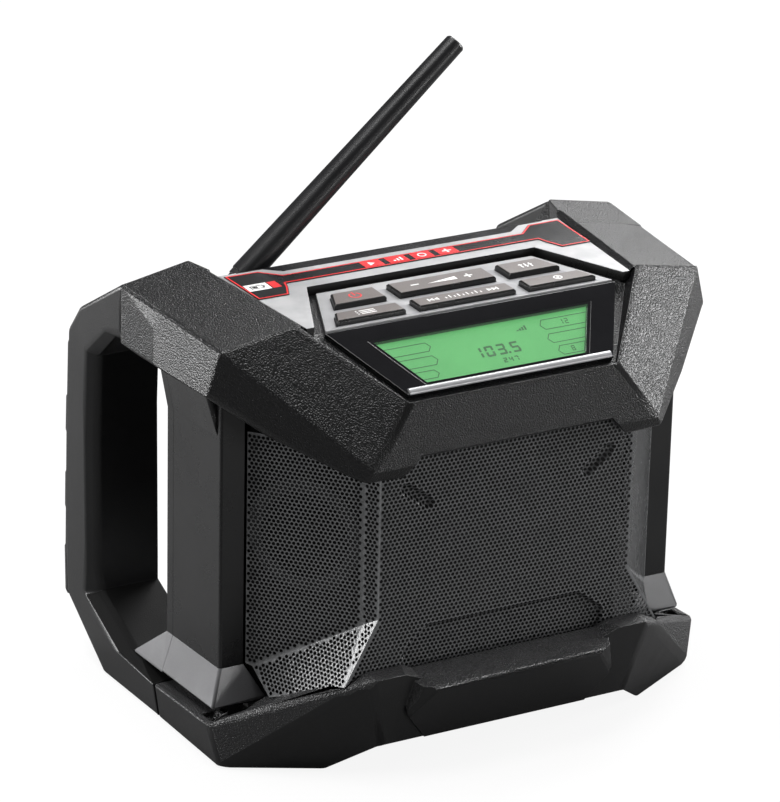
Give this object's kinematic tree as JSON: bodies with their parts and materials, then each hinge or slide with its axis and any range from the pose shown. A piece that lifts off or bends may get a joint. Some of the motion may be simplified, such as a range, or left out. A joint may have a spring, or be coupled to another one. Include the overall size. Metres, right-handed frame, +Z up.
{
  "type": "jobsite radio",
  "caption": "Rugged portable radio with faceted hood, sloping backlit display, folded perforated grille, rubber bumper, side carrying loops and folding antenna.",
  "frame": {"origin": "centre of the bounding box on the ground", "axes": "+Z up, -Y towards the display and grille, +X to the right seen from the front"},
  "size_m": [0.277, 0.2257, 0.321],
  "materials": {
    "hood_plastic": "charcoal, coarse moulded grain",
    "housing_plastic": "smooth dark grey moulding",
    "bumper_rubber": "black, smooth with grained upper faces",
    "grip_rubber": "black soft grip",
    "grille_steel": "perforated sheet with dark paint",
    "baffle_plastic": "black",
    "speaker_steel": "dark stamped basket",
    "cone_paper": "dark pulp cone with rubber surround",
    "silver_plastic": "silver paint",
    "label_film": "black film with red outline",
    "mat_rubber": "dark silicone",
    "key_plastic": "dark warm grey",
    "bezel_gloss": "piano black",
    "display_glass": "clear window",
    "display_light": "green backlit panel",
    "circuit_board": "green board",
    "dock_plastic": "black",
    "contact_brass": "plated blades",
    "socket_plastic": "black",
    "cover_rubber": "black flap",
    "fastener_steel": "zinc plated",
    "hinge_plastic": "black",
    "antenna_rubber": "black sleeve"
  },
  "bodies": {
    "radio": {"front_hood": "hood_plastic", "rear_hood": "hood_plastic", "front_housing": "housing_plastic", "rear_housing": "housing_plastic", "base_pan": "housing_plastic", "front_bumper": "bumper_rubber", "side_loop_left": "bumper_rubber", "side_loop_right": "bumper_rubber", "grip_left": "grip_rubber", "grip_right": "grip_rubber", "grille": "grille_steel", "speaker_baffle": "baffle_plastic", "speaker_left": "speaker_steel", "speaker_right": "speaker_steel", "cone_left": "cone_paper", "cone_right": "cone_paper", "deck_frame": "silver_plastic", "key_plate": "silver_plastic", "label_strip": "label_film", "keypad_mat": "mat_rubber", "display_bezel": "bezel_gloss", "display_window": "display_glass", "lcd_module": "display_light", "control_board": "circuit_board", "amplifier_board": "circuit_board", "dock_housing": "housing_plastic", "battery_rails": "dock_plastic", "battery_contacts": "contact_brass", "aux_socket": "socket_plastic", "dc_socket": "socket_plastic", "cover_pin": "fastener_steel", "antenna_base": "hinge_plastic", "antenna_pin": "fastener_steel", "housing_screws": "fastener_steel"},
    "power_button": {"power_key": "key_plastic"},
    "mode_button": {"mode_key": "key_plastic"},
    "volume_rocker": {"volume_key": "key_plastic"},
    "channel_rocker": {"channel_key": "key_plastic"},
    "eq_button": {"eq_key": "key_plastic"},
    "select_button": {"select_key": "key_plastic"},
    "cover_flap": {"socket_cover": "cover_rubber"},
    "antenna": {"antenna_knuckle": "hinge_plastic", "antenna_mast": "antenna_rubber"}
  },
  "joints": [
    {"name": "power_press", "type": "slide", "parent": "radio", "child": "power_button", "axis": [0, 0, -1], "range_m": [0, 0.001], "stiffness_N_per_m": 600},
    {"name": "mode_press", "type": "slide", "parent": "radio", "child": "mode_button", "axis": [0, 0, -1], "range_m": [0, 0.001], "stiffness_N_per_m": 600},
    {"name": "eq_press", "type": "slide", "parent": "radio", "child": "eq_button", "axis": [0, 0, -1], "range_m": [0, 0.001], "stiffness_N_per_m": 600},
    {"name": "select_press", "type": "slide", "parent": "radio", "child": "select_button", "axis": [0, 0, -1], "range_m": [0, 0.001], "stiffness_N_per_m": 600},
    {"name": "volume_rock", "type": "hinge", "parent": "radio", "child": "volume_rocker", "pos_m": [0, -0.02525, 0.21405], "axis": [0, 1, 0], "range_deg": [-2, 2], "stiffness_Nm_per_rad": 0.6},
    {"name": "channel_rock", "type": "hinge", "parent": "radio", "child": "channel_rocker", "pos_m": [0, -0.04625, 0.21405], "axis": [0, 1, 0], "range_deg": [-2, 2], "stiffness_Nm_per_rad": 0.6},
    {"name": "cover_hinge", "type": "hinge", "parent": "radio", "child": "cover_flap", "pos_m": [0.101, 0.02, 0.098], "axis": [1, 0, 0], "range_deg": [0, 110]},
    {"name": "antenna_hinge", "type": "hinge", "parent": "radio", "child": "antenna", "pos_m": [-0.085, 0.0365, 0.206], "axis": [0, -1, 0], "range_deg": [-41.7, 48.3]}
  ]
}
